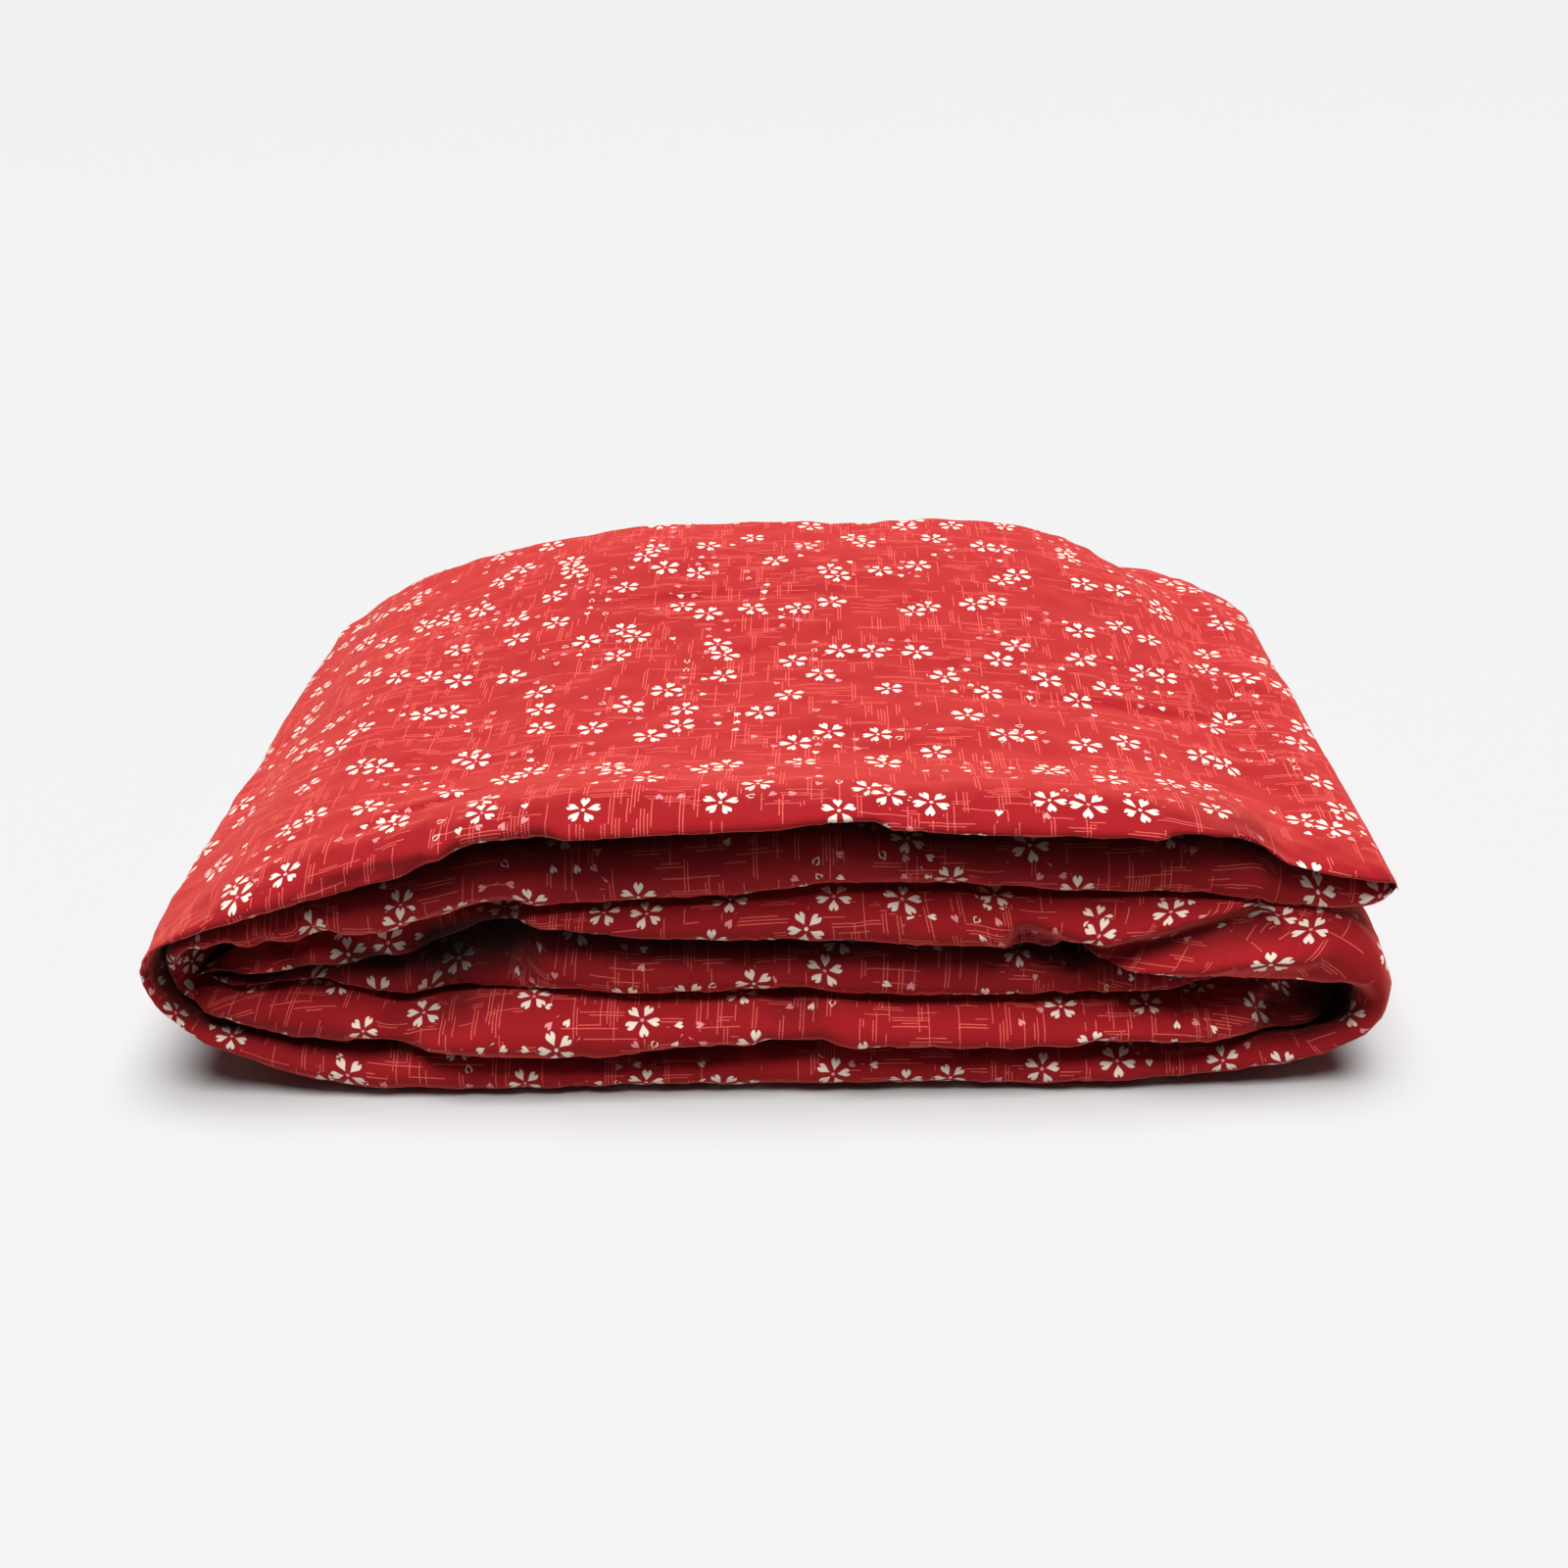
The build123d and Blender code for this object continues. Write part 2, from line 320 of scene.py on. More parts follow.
def pushed_in(x, z):
    """How far back the front is pushed at x, z: a valley along each pinch, or a ridge."""
    total = 0 * x
    for x0, z0, x1, z1, half_width, depth in PINCHES:
        run_x, run_z = x1 - x0, z1 - z0
        t = ((x - x0) * run_x + (z - z0) * run_z) / (run_x**2 + run_z**2)
        t = np.clip(t, 0, 1)
        away = np.hypot(x - x0 - t * run_x, z - z0 - t * run_z)
        total = total + depth * smooth(1 - away / (1.6 * half_width))
    return total


print(len(PINCHES), "pinches, the deepest", max(pinch[5] for pinch in PINCHES), "mm")

# %% [markdown]
# The way round the cut has seven parts: two rolls, two skins, the back fold and the two
# walls of the slit. Each part says how deep it lies, where it is between the slit (0)
# and the skin (1) of its layer, which layer that is, and how covered it is, which sets
# how much painted shade it gets.

# %% The seven parts of the way round
OUTER, INNER, BACK = 0, 1, 2
ROLL_POINTS, SKIN_POINTS, FOLD_POINTS, SLIT_POINTS = 22, 84, 18, 14
CROWDING = 1.25  # above 1, the skin's points crowd towards the front


def strip_parts(s, recess, fineness):
    """The parts at distances s: y, place from slit to skin, layer, and how covered, for painted
    shade.

    A roll's way across its layer is a sine of the turn, and its way back a cosine. The
    skins and the slit's walls are straight runs between the rolls and the back fold.
    """
    behind_o, share_o, mid_o, skin_o = (v[:, None] for v in roll_shape(OUTER_ROLL, s))
    behind_i, share_i, skin_i, mid_i = (v[:, None] for v in roll_shape(INNER_ROLL, s))
    front_o = -HALF_DEPTH + behind_o + recess
    front_i = -HALF_DEPTH + behind_i + recess
    back_y = HALF_DEPTH - BACK_REACH + 0 * front_o
    turn = np.linspace(-math.pi / 2, math.pi / 2, int(ROLL_POINTS * fineness))[None, :]
    low, high = np.minimum(turn, 0), np.maximum(turn, 0)
    run = np.linspace(0, 1, int(SKIN_POINTS * fineness))[None, 1:-1]
    run = run**CROWDING
    slit = np.linspace(0, 1, int(SLIT_POINTS * fineness))[None, 1:-1]

    def shares(share, reach_low, reach_high):
        """Where on the way across a layer its roll is, and how far behind its front."""
        across = share * (1 + np.sin(low)) + (1 - share) * np.sin(high)
        back = np.where(turn < 0, reach_low * (1 - np.cos(low)), reach_high * (1 - np.cos(high)))
        return across, back

    across_o, back_o = shares(share_o, mid_o, skin_o)
    across_i, back_i = shares(share_i, skin_i, mid_i)
    slit_end = -HALF_DEPTH + SLIT_DEPTH + 0 * front_o
    start_o, start_i = front_o + skin_o, front_i + skin_i
    edge_o, edge_i = front_o + mid_o, front_i + mid_i
    fold = np.linspace(-math.pi / 2, math.pi / 2, int(FOLD_POINTS * fineness))[None, :]
    reach = (BACK_REACH - recess) * np.cos(fold)
    one = 0 * run + 1
    return [
        (front_o + back_o, across_o, OUTER, 1 - across_o),
        (start_o + (back_y - start_o) * run, one, OUTER, 0),
        (back_y + reach, np.sin(fold), BACK, 0),
        (back_y + (start_i - back_y) * (1 - run[:, ::-1]), one, INNER, 0),
        (front_i + back_i, 1 - across_i, INNER, across_i),
        (edge_i + (slit_end - edge_i) * slit, 0 * slit, INNER, 1),
        (slit_end + (edge_o - slit_end) * slit, 0 * slit, OUTER, 1),
    ]


parts = strip_parts(np.array([0.0, strip_end]), 0.0, 1.0)
print(len(parts), "parts round the cut, with", [part[0].shape[1] for part in parts], "points")

# %% [markdown]
# Now the surface itself. Every part is placed between the three lines at its station,
# and the parts are joined side by side into one grid. The dents and pinches come last.

# %% The strip surface
def step_to(a, b, distance):
    """The point at a distance from a towards b, or halfway where they are close."""
    gap = np.linalg.norm(b - a, axis=-1, keepdims=True)
    return a + (b - a) * np.minimum(distance / np.maximum(gap, 1e-6), 0.45)


def strip_surface(s, draw=0.0, recess=0.0, fineness=1.0):
    """Rows of points along s and round the cut, and how much painted shade each one gets.

    A point is a blend of the outer, middle and inner lines, taken from the front's lines
    near the front and from the deep ones further in. draw and recess, in mm, shrink the
    surface inside itself, for the bags further in; fineness scales the point counts.
    """
    front_lines, deep_lines = along(FRONT, s), along(DEEP, s)
    rows, shelter = [], []
    for y, place, layer, covered in strip_parts(s, recess, fineness):
        y = y + 0 * s[:, None]
        place = place + 0 * y
        from_front = y + HALF_DEPTH
        # the front's lines hold for 25 mm, and the deep ones take over in 55 mm more
        w = smooth((from_front - 25) / 55)[..., None]
        lines = front_lines[:, None, :] * (1 - w) + deep_lines[:, None, :] * w
        outer, middle, inner = lines[..., 0:2], lines[..., 2:4], lines[..., 4:6]
        # the gaps are wider near the front
        near_front = (1 - smooth(from_front / 60))[..., None]
        slit_half = SLIT_GAP / 2 + SLIT_OPENS * near_front
        slit_o, slit_i = step_to(middle, outer, slit_half), step_to(middle, inner, slit_half)
        skin_gap = SKIN_GAP + SKIN_OPENS * near_front
        outer, inner = step_to(outer, middle, skin_gap), step_to(inner, middle, skin_gap)
        outer, slit_o = step_to(outer, slit_o, draw), step_to(slit_o, outer, draw)
        inner, slit_i = step_to(inner, slit_i, draw), step_to(slit_i, inner, draw)
        if layer == OUTER:
            point = slit_o + (outer - slit_o) * place[..., None]
        elif layer == INNER:
            point = slit_i + (inner - slit_i) * place[..., None]
        else:
            point = (outer + inner) / 2 + (inner - outer) / 2 * place[..., None]
        rows.append(np.stack([point[..., 0], y, point[..., 1]], -1))
        # painted shade: a covered part darkens from 2 mm behind the front, fully at 29 mm
        shelter.append(covered * smooth((from_front - 2) / 27))
    surface = np.concatenate(rows, 1)
    x, y, z = surface[..., 0], surface[..., 1], surface[..., 2]
    # only the top's skin sinks, from a little behind the front
    on_top = smooth((top_run_end - s[:, None]) / 60) * smooth((z - 95) / 45)
    surface[..., 2] = z - on_top * dent(s[:, None], y, x) * smooth((y + 238) / 30)
    near_front = 1 - smooth((y + HALF_DEPTH) / 75)
    # the top's back right corner is rounded off and droops
    corner = smooth((y - 95) / 170) ** 2 * smooth(1 - s[:, None] / 190)
    surface[..., 0] = x - CORNER_SLANT * corner
    surface[..., 2] -= CORNER_DROP * corner * smooth((z - 112) / 30)
    # the pinches push the front in, and what is pushed in gets painted shade
    push = near_front * pushed_in(x, z)
    surface[..., 1] = y + push
    # the painted shade is left out at the top third's free end and fades in over 61 mm; pinches
    # add painted shade by how far they push in
    shelter = np.concatenate(shelter, 1) * smooth((s[:, None] - 6) / 55)
    return surface, np.clip(shelter + np.maximum(push, 0) / 26, 0, 1)


# %% [markdown]
# ## Softness
#
# Cloth over wadding is never even. Long waves puff the rolls, and short puckers run
# into the pinched edges. Both are sums of sine waves laid over the cloth's own two
# directions, with fixed directions and phases, and they push each point along the
# surface's normal. A Displace modifier would do the same with a texture, but sums of
# sines can be told how strong to be at the front and at the free ends.

# %% Waves
rng = np.random.default_rng(7)


def wave_field(count, longest, shortest, stretch=1.0):
    """A function of cloth position: a sum of sine waves with lengths between the two.

    Each wave's strength is its share of the longest length to the power 0.8, and the sum
    is divided by the waves' joint size, so that its usual height is 1. Above 1, stretch
    makes the waves shorter along the strip.
    """
    lengths = np.exp(rng.uniform(np.log(shortest), np.log(longest), count))
    angles = rng.uniform(0, math.pi, count)
    phases = rng.uniform(0, 2 * math.pi, count)
    strengths = (lengths / longest) ** 0.8

    def field(a, b):
        total = 0 * (a + b)
        for length, angle, phase, strength in zip(lengths, angles, phases, strengths):
            turned = (a * math.cos(angle) * stretch + b * math.sin(angle)) / length
            total = total + strength * np.sin(2 * math.pi * turned + phase)
        return total / math.sqrt((strengths**2).sum() / 2)

    return field


puff = wave_field(16, 240, 70)
crumple = wave_field(26, 46, 17)
pucker = wave_field(12, 26, 11, stretch=2.2)
PUFF_HEIGHT, CRUMPLE_HEIGHT, PUCKER_HEIGHT = 0.8, 0.34, 0.22
sample = np.linspace(0, 2000, 500)
print(f"the puffs swing up to {PUFF_HEIGHT * puff(sample, 0.3 * sample).max():.1f} mm")


# %% Normals, cloth coordinates and the waves laid on
def normals_of(surface):
    """Outward unit normals of a closed grid: the cross product of its two directions."""
    along_s = np.gradient(surface, axis=0)
    around = (np.roll(surface, -1, 1) - np.roll(surface, 1, 1)) / 2
    normal = np.cross(around, along_s)
    return normal / np.maximum(np.linalg.norm(normal, axis=-1, keepdims=True), 1e-9)


def cloth_places(surface, front_column):
    """Cloth coordinates in mm: along the strip, and round the cut from the front roll.

    Both are running sums of the distances between neighbouring points.
    """
    steps = np.linalg.norm(np.diff(surface, axis=1), axis=-1)
    around = np.concatenate([0 * steps[:, :1], np.cumsum(steps, 1)], 1)
    around -= around[:, front_column : front_column + 1]
    skin = surface[:, front_column]
    length = np.r_[0, np.cumsum(np.linalg.norm(np.diff(skin, axis=0), axis=1))]
    return length[:, None] + 0 * around, around


def softened(surface, a, b, amount):
    """The surface with its waves, which are taken inward, so that a crest is a hollow.

    The height is a sum of the three fields; puckers fade out 62 mm behind the front, and
    all of it fades out over the last 22 mm at each free end.
    """
    front = 1 - smooth((surface[..., 1] + HALF_DEPTH - 22) / 40)
    height = PUFF_HEIGHT * puff(a, b) + CRUMPLE_HEIGHT * crumple(a, b)
    height = height + PUCKER_HEIGHT * front * pucker(a, b)
    ends = smooth(np.minimum(a, a.max(0) - a) / 22)
    return surface - normals_of(surface) * (amount * ends * height)[..., None]


# %% [markdown]
# ## From grid to pieces
#
# The cover is one bag on the real thing. Here it is cut where the joints are: a piece
# for the thirds that lie still, one for the top third, and two for the left fold, which
# stay where they lie. All are slices of one surface, so they meet without a step, and
# they share its normals, so that no seam shows where one slice ends.

# %% Make a mesh from a slice of the surface
def slice_mesh(name, surface, uv_a, uv_b, first, last, normals=None, shelter=None):
    """A closed mesh of rows first to last, with its cut ends capped, in metres.

    Each face joins two neighbouring rows and columns, and the last column joins the
    first. The cloth coordinates become the UV map, in metres.
    """
    block = surface[first : last + 1] * MM
    rows, columns = block.shape[:2]
    index = np.arange(rows * columns).reshape(rows, columns)
    right = np.roll(index, -1, 1)
    quads = np.stack([index[:-1], right[:-1], right[1:], index[1:]], -1).reshape(-1, 4)
    mesh = bpy.data.meshes.new(name)
    points = block.reshape(-1, 3)
    caps = [index[0][::-1], index[-1]]
    corners = np.concatenate([quads.ravel()] + caps).astype(np.int32)
    starts = np.r_[np.arange(len(quads)) * 4, len(quads) * 4, len(quads) * 4 + columns]
    mesh.vertices.add(len(points))
    mesh.vertices.foreach_set("co", points.ravel())
    mesh.loops.add(len(corners))
    mesh.loops.foreach_set("vertex_index", corners)
    mesh.polygons.add(len(starts))
    mesh.polygons.foreach_set("loop_start", starts.astype(np.int32))
    mesh.update(calc_edges=True)
    mesh.polygons.foreach_set("use_smooth", np.r_[np.ones(len(quads)), 0, 0].astype(bool))
    a, b = uv_a[first : last + 1] * MM, uv_b[first : last + 1] * MM
    wide = np.concatenate([b, 2 * b[:, -1:] - b[:, -2:-1]], 1)
    long = np.concatenate([a, a[:, :1]], 1)
    corner_rows = [(0, 0), (0, 1), (1, 1), (1, 0)]
    u = np.stack([long[i : rows - 1 + i, j : columns + j] for i, j in corner_rows], -1)
    v = np.stack([wide[i : rows - 1 + i, j : columns + j] for i, j in corner_rows], -1)
    uv = np.stack([u.ravel(), v.ravel()], -1)
    cap_uv = np.concatenate([np.stack([a[0], b[0]], -1)[::-1], np.stack([a[-1], b[-1]], -1)])
    layer = mesh.uv_layers.new(name="cloth")
    layer.data.foreach_set("uv", np.concatenate([uv, cap_uv]).astype(np.float32).ravel())
    # the painted shade goes along as a point attribute
    if shelter is not None:
        shade = mesh.attributes.new("shelter", "FLOAT", "POINT")
        shade.data.foreach_set("value", shelter[first : last + 1].astype(np.float32).ravel())
    if normals is not None:
        mesh.normals_split_custom_set_from_vertices(
            normals[first : last + 1].reshape(-1, 3).tolist()
        )
    obj = bpy.data.objects.new(name, mesh)
    bpy.context.scene.collection.objects.link(obj)
    return obj


# %% The cover's surface
STEP = 4.6  # mm between the cover's rows
FLOOR_CLEARANCE = 0.3
rows_s = np.linspace(0, strip_end, int(strip_end / STEP))
cover_surface, cover_painted_shade = strip_surface(rows_s)
cloth_a, cloth_b = cloth_places(cover_surface, ROLL_POINTS - 1)
cover_surface = softened(cover_surface, cloth_a, cloth_b, 1.0)
cover_surface[..., 2] = np.maximum(cover_surface[..., 2], FLOOR_CLEARANCE)
print("cover grid", cover_surface.shape, "lowest", round(float(cover_surface[..., 2].min()), 2))


# %% The cuts, and placing the slices
def cuts_of(s):
    """Row numbers where the strip is cut, for a grid with rows at distances s."""
    places = [0, left_fold_start, left_nose, left_fold_end, strip_end]
    return [int(np.argmin(np.abs(s - place))) for place in places]


# name, body or the two bodies it bends between, nodes, and the x in mm where the bend starts
SECTIONS = [
    ("top_third", ("top_third",), ["top"], 0),
    ("upper_bend", ("top_third", "left_fold"), ["left_fold_upper"], -239),
    ("lower_bend", ("root", "left_fold"), ["left_fold_lower", "left_fold_middle"], -249),
    ("lower_thirds", ("root",), ["bottom", "right_fold", "middle"], 0),
]


def place_sections(kind, surface, a, b, s, material, shelter=None):
    """Make the four slices of one bag or filling, attach those with one body to it, and hide the
    parts they replace.
    """
    cut = cuts_of(s)
    normals = normals_of(surface)
    print(f"{kind}: {surface.shape[0]} rows of {surface.shape[1]} points, cut at rows {cut}")
    for (section, bodies, nodes, bend), first, last in zip(SECTIONS, cut[:-1], cut[1:]):
        piece = slice_mesh(f"{section}_{kind}", surface, a, b, first, last, normals, shelter)
        piece.data.materials.append(material)
        if len(bodies) == 1:
            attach(piece, bodies[0])
        else:
            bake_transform(piece)
        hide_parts(*[f"{node}_{kind}" for node in nodes])


# %% [markdown]
# ## The printed cotton
#
# The print is drawn by the material in the cloth's own coordinates (metres along the
# strip and round it), so it follows every fold and runs over the rolls. It has three
# motifs: five-petal blossoms, single heart petals that drift in groups, and broken
# crossing threads like woven kasuri. An image of the print would be quicker, but it
# would blur close up. Each motif is laid out the same way: divide the cloth into cells,
# give each cell random numbers, and draw one motif inside the cell.

# %% A small helper for shader nodes
class Graph:
    """Adds nodes to a material and links them; a number in place of a socket is a constant."""

    def __init__(self, material):
        """Draws in the given material's own node tree."""
        self.tree = material.node_tree

    def node(self, kind, inputs=(), **settings):
        """A node of the given kind with its settings, and a value or a link for each input."""
        made = self.tree.nodes.new(kind)
        for name, value in settings.items():
            setattr(made, name, value)
        for slot, value in inputs:
            if isinstance(value, bpy.types.NodeSocket):
                self.tree.links.new(value, made.inputs[slot])
            else:
                made.inputs[slot].default_value = value
        return made

    def math(self, operation, *values, clamp=False):
        """The result of one sum on the values, kept from 0 to 1 if clamp is on."""
        inputs = list(enumerate(values))
        return self.node("ShaderNodeMath", inputs, operation=operation, use_clamp=clamp).outputs[0]

    def below(self, value, limit, soft):
        """1 where value is under limit, 0 over it, with an edge of width soft."""
        gap = self.math("SUBTRACT", limit, value)
        return self.math("MULTIPLY_ADD", gap, 1 / soft, 0.5, clamp=True)

    def both(self, *masks):
        """The product of the masks: 1 only where all of them are 1."""
        total = masks[0]
        for mask in masks[1:]:
            total = self.math("MULTIPLY", total, mask)
        return total

    def either(self, first, second):
        """The larger of two masks."""
        return self.math("MAXIMUM", first, second)

    def random(self, *values):
        """Three random numbers from 0 to 1 for the cell that the values name."""
        place = self.node("ShaderNodeCombineXYZ", list(enumerate(values))).outputs[0]
        noise = self.node("ShaderNodeTexWhiteNoise", [("Vector", place)], noise_dimensions="3D")
        return self.node("ShaderNodeSeparateColor", [(0, noise.outputs["Color"])]).outputs

    def noise(self, u, v, size, detail=2.0, seed=0.0):
        """Smooth noise from 0 to 1 with features of the given size in metres."""
        place = self.node("ShaderNodeCombineXYZ", [(0, u), (1, v), (2, seed)]).outputs[0]
        inputs = [("Vector", place), ("Scale", 1 / size), ("Detail", detail)]
        return self.node("ShaderNodeTexNoise", inputs, noise_dimensions="3D").outputs[0]

    def mix(self, amount, first, second):
        """The first colour where amount is 0, the second where it is 1."""
        inputs = [(0, amount), (6, first), (7, second)]
        return self.node("ShaderNodeMix", inputs, data_type="RGBA").outputs[2]


def finish_of(name):
    """A new material with its graph and its principled shader."""
    material = bpy.data.materials.new(name)
    material.use_nodes = True
    return material, Graph(material), material.node_tree.nodes["Principled BSDF"]


# %% [markdown]
# The cherry petal is a heart: narrow at its base, widest near the tip, and notched. Its
# half width is a curve over its length, so one drawing serves the blossoms' five petals
# and the loose ones.

# %% A petal
PETAL = [(0, 0), (0.17, 0), (0.3, 0.06), (0.44, 0.14), (0.58, 0.225), (0.7, 0.275)]
PETAL += [(0.8, 0.275), (0.9, 0.225), (0.97, 0.13), (1, 0.06)]


def petal_mask(graph, u, w):
    """A heart-shaped petal from its base at u = 0 to its notched tip at u = 1.

    The half width follows the curve PETAL; the notch is a V cut into the tip.
    """
    curve = graph.node("ShaderNodeFloatCurve", [("Value", u)])
    points = curve.mapping.curves[0].points
    for place, height in PETAL[1:-1]:
        points.new(place, height)
    points[0].location = PETAL[0]
    points[-1].location = PETAL[-1]
    curve.mapping.update()
    side = graph.below(graph.math("ADD", w, 0.03), curve.outputs[0], 0.05)
    notch_edge = graph.math("MULTIPLY_ADD", w, 2.1, 0.76)
    return graph.both(side, graph.below(u, notch_edge, 0.06), graph.below(u, 1.0, 0.02))


widest = max(PETAL, key=lambda point: point[1])
print(f"a petal is widest, {2 * widest[1]:.2f} of its length, at {widest[0]:.2f} of the way out")


# %% Cells, and a motif's place in its cell
def cells(graph, u, v, size, seed):
    """Square cells: three random numbers a cell, and the place inside it from its centre."""
    index, local = [], []
    for value, shift in ((u, seed * 0.37), (v, seed * 0.61)):
        scaled = graph.math("MULTIPLY_ADD", value, 1 / size, shift + 40)
        index.append(graph.math("FLOOR", scaled))
        local.append(graph.math("SUBTRACT", graph.math("FRACT", scaled), 0.5))
    return graph.random(*index, seed), graph.random(*index, seed + 40.5), local, index


def moved(graph, local, numbers, size, radius, wander):
    """Place relative to a motif that wanders in its cell, in units of the motif's radius."""
    placed = []
    for axis in (0, 1):
        shift = graph.math("MULTIPLY_ADD", numbers[axis], wander, -wander / 2)
        offset = graph.math("SUBTRACT", local[axis], shift)
        placed.append(graph.math("MULTIPLY", offset, size / radius))
    return placed


# %% Blossoms
def blossom_layer(graph, u, v, size, radius, seed):
    """Masks of petals, centre dot and the whole disc of one blossom a cell, and its dice.

    The angle round the centre, in fifths of a turn, folds five petals onto one.
    """
    numbers, dice, local, _ = cells(graph, u, v, size, seed)
    grown = graph.math("MULTIPLY_ADD", dice[0], 0.16, 0.92)
    x, y = moved(graph, local, numbers, size, radius, 1 - 2.1 * radius / size)
    x = graph.math("DIVIDE", x, grown)
    y = graph.math("DIVIDE", y, grown)
    distance = graph.math("SQRT", graph.math("ADD", graph.both(x, x), graph.both(y, y)))
    fifths = graph.math("MULTIPLY", graph.math("ARCTAN2", y, x), 5 / (2 * math.pi))
    turn = graph.math("MULTIPLY_ADD", numbers[2], 5, fifths)
    sector = graph.math("FRACT", graph.math("ADD", turn, 10))
    angle = graph.math("MULTIPLY_ADD", sector, 2 * math.pi / 5, -math.pi / 5)
    along_petal = graph.math("MULTIPLY", distance, graph.math("COSINE", angle))
    across_petal = graph.math("MULTIPLY", distance, graph.math("SINE", angle))
    across_petal = graph.math("ABSOLUTE", across_petal)
    petals = petal_mask(graph, along_petal, across_petal)
    return petals, graph.below(distance, 0.1, 0.04), graph.below(distance, 1.04, 0.04), dice


# %% Loose petals
def heart_layer(graph, u, v, size, length, seed):
    """Masks of filled cream, filled pink and outlined single petals, in drifting groups."""
    numbers, dice, local, index = cells(graph, u, v, size, seed)
    x, y = moved(graph, local, numbers, size, length, 1 - 1.3 * length / size)
    angle = graph.math("MULTIPLY", numbers[2], 2 * math.pi)
    cosine, sine = graph.math("COSINE", angle), graph.math("SINE", angle)
    along_petal = graph.math("ADD", graph.both(x, cosine), graph.both(y, sine))
    along_petal = graph.math("ADD", along_petal, 0.6)
    across_petal = graph.math("SUBTRACT", graph.both(y, cosine), graph.both(x, sine))
    across_petal = graph.math("ABSOLUTE", across_petal)
    full = petal_mask(graph, along_petal, graph.math("MULTIPLY", across_petal, 0.86))
    inner_u = graph.math("MULTIPLY_ADD", along_petal, 1.3, -0.22)
    inner = petal_mask(graph, inner_u, graph.math("MULTIPLY", across_petal, 1.3))
    outline = graph.math("SUBTRACT", full, inner, clamp=True)
    drift = graph.noise(*index, 3.3, detail=0.0, seed=seed)
    chosen = graph.both(graph.below(0.55, drift, 0.001), graph.below(dice[0], 0.6, 0.001))
    pink = graph.both(chosen, graph.below(0.56, dice[1], 0.001))
    hollow = graph.both(chosen, graph.below(dice[1], 0.12, 0.001))
    solid = graph.both(chosen, graph.below(0.12, dice[1], 0.001))
    return graph.either(graph.both(full, solid), graph.both(outline, hollow)), pink


# %% Crossing threads
def thread_layer(graph, along_line, across_line, seed):
    """Thin broken lines: pairs of rows, each with strokes of random place and length.

    A row is a pitch wide, a stroke lies in its own stretch of the row, and the beat of
    the dashes breaks it up as a weave does. A slow noise keeps the strokes in patches.
    """
    pitch, stroke, dash = 0.0018, 0.034, 0.00105
    half_line, dash_share = 0.165, 0.66
    wobble = graph.noise(along_line, across_line, 0.02, seed=seed + 3)
    across_line = graph.math("MULTIPLY_ADD", wobble, 0.0004, across_line)
    row = graph.math("MULTIPLY_ADD", across_line, 1 / pitch, 4000)
    row_index = graph.math("FLOOR", row)
    pair = graph.math("FLOOR", graph.math("MULTIPLY", row_index, 0.5))
    shift = graph.random(pair, seed, 0.0)
    place = graph.math("MULTIPLY_ADD", along_line, 1 / stroke, graph.math("MULTIPLY", shift[0], 7))
    place = graph.math("ADD", place, 100)
    stroke_index = graph.math("FLOOR", place)
    pair_dice = graph.random(pair, stroke_index, seed + 1)
    row_dice = graph.random(row_index, stroke_index, seed + 2)
    middle = graph.math("ABSOLUTE", graph.math("SUBTRACT", graph.math("FRACT", place), 0.5))
    reach = graph.math("MULTIPLY_ADD", row_dice[1], 0.34, 0.12)
    patch = graph.noise(along_line, across_line, 0.06, seed=seed + 9)
    chance = graph.math("MULTIPLY_ADD", patch, 1.3, -0.31)
    drawn = graph.both(
        graph.below(pair_dice[0], chance, 0.001),
        graph.below(row_dice[0], 0.74, 0.001),
        graph.below(middle, reach, 0.01),
    )
    off_centre = graph.math("ABSOLUTE", graph.math("SUBTRACT", graph.math("FRACT", row), 0.5))
    line = graph.below(off_centre, half_line, 0.08)
    beat = graph.math("MULTIPLY_ADD", along_line, 1 / dash, graph.math("MULTIPLY", row_dice[2], 3))
    beat = graph.math("FRACT", graph.math("ADD", beat, 3000))
    broken = graph.below(beat, dash_share, 0.2)
    return graph.both(drawn, line, broken)


# %% [markdown]
# The base colour is a deep red that varies a little from place to place. Where the cloth
# is seen at a slant, the red is painted paler: a painted sheen that stands for short
# cotton fibres catching the light. The threads lie on it in coral, and the blossoms and
# loose petals on top in cream, with some in pink.

# %% The cover's colours
cotton, graph, shader = finish_of("printed_cotton")
cloth = graph.node("ShaderNodeUVMap", uv_map="cloth").outputs[0]
u, v, _ = graph.node("ShaderNodeSeparateXYZ", [(0, cloth)]).outputs

RED, DEEP_RED, PAINTED_SHEEN_RED = (0.32, 0.007, 0.011, 1), (0.27, 0.005, 0.009, 1), (0.58, 0.05, 0.043, 1)
CORAL, CREAM, PINK = (0.84, 0.15, 0.12, 1), (0.84, 0.68, 0.58, 1), (0.72, 0.25, 0.27, 1)
BLOSSOM_CELL, BLOSSOM_RADIUS = 0.058, 0.0097
PETAL_CELL, PETAL_LENGTH = 0.0115, 0.0066
shade = graph.noise(u, v, 0.09, detail=3.0)
colour = graph.mix(shade, RED, DEEP_RED)
# painted sheen: the red turns paler where the cloth is seen at a slant
facing = graph.node("ShaderNodeLayerWeight", [("Blend", 0.5)]).outputs["Facing"]
painted_sheen = graph.math("MULTIPLY_ADD", facing, 2.6, -1.0, clamp=True)
painted_sheen = graph.math("MULTIPLY", painted_sheen, 0.62)
ground_and_painted_sheen = graph.mix(painted_sheen, colour, PAINTED_SHEEN_RED)

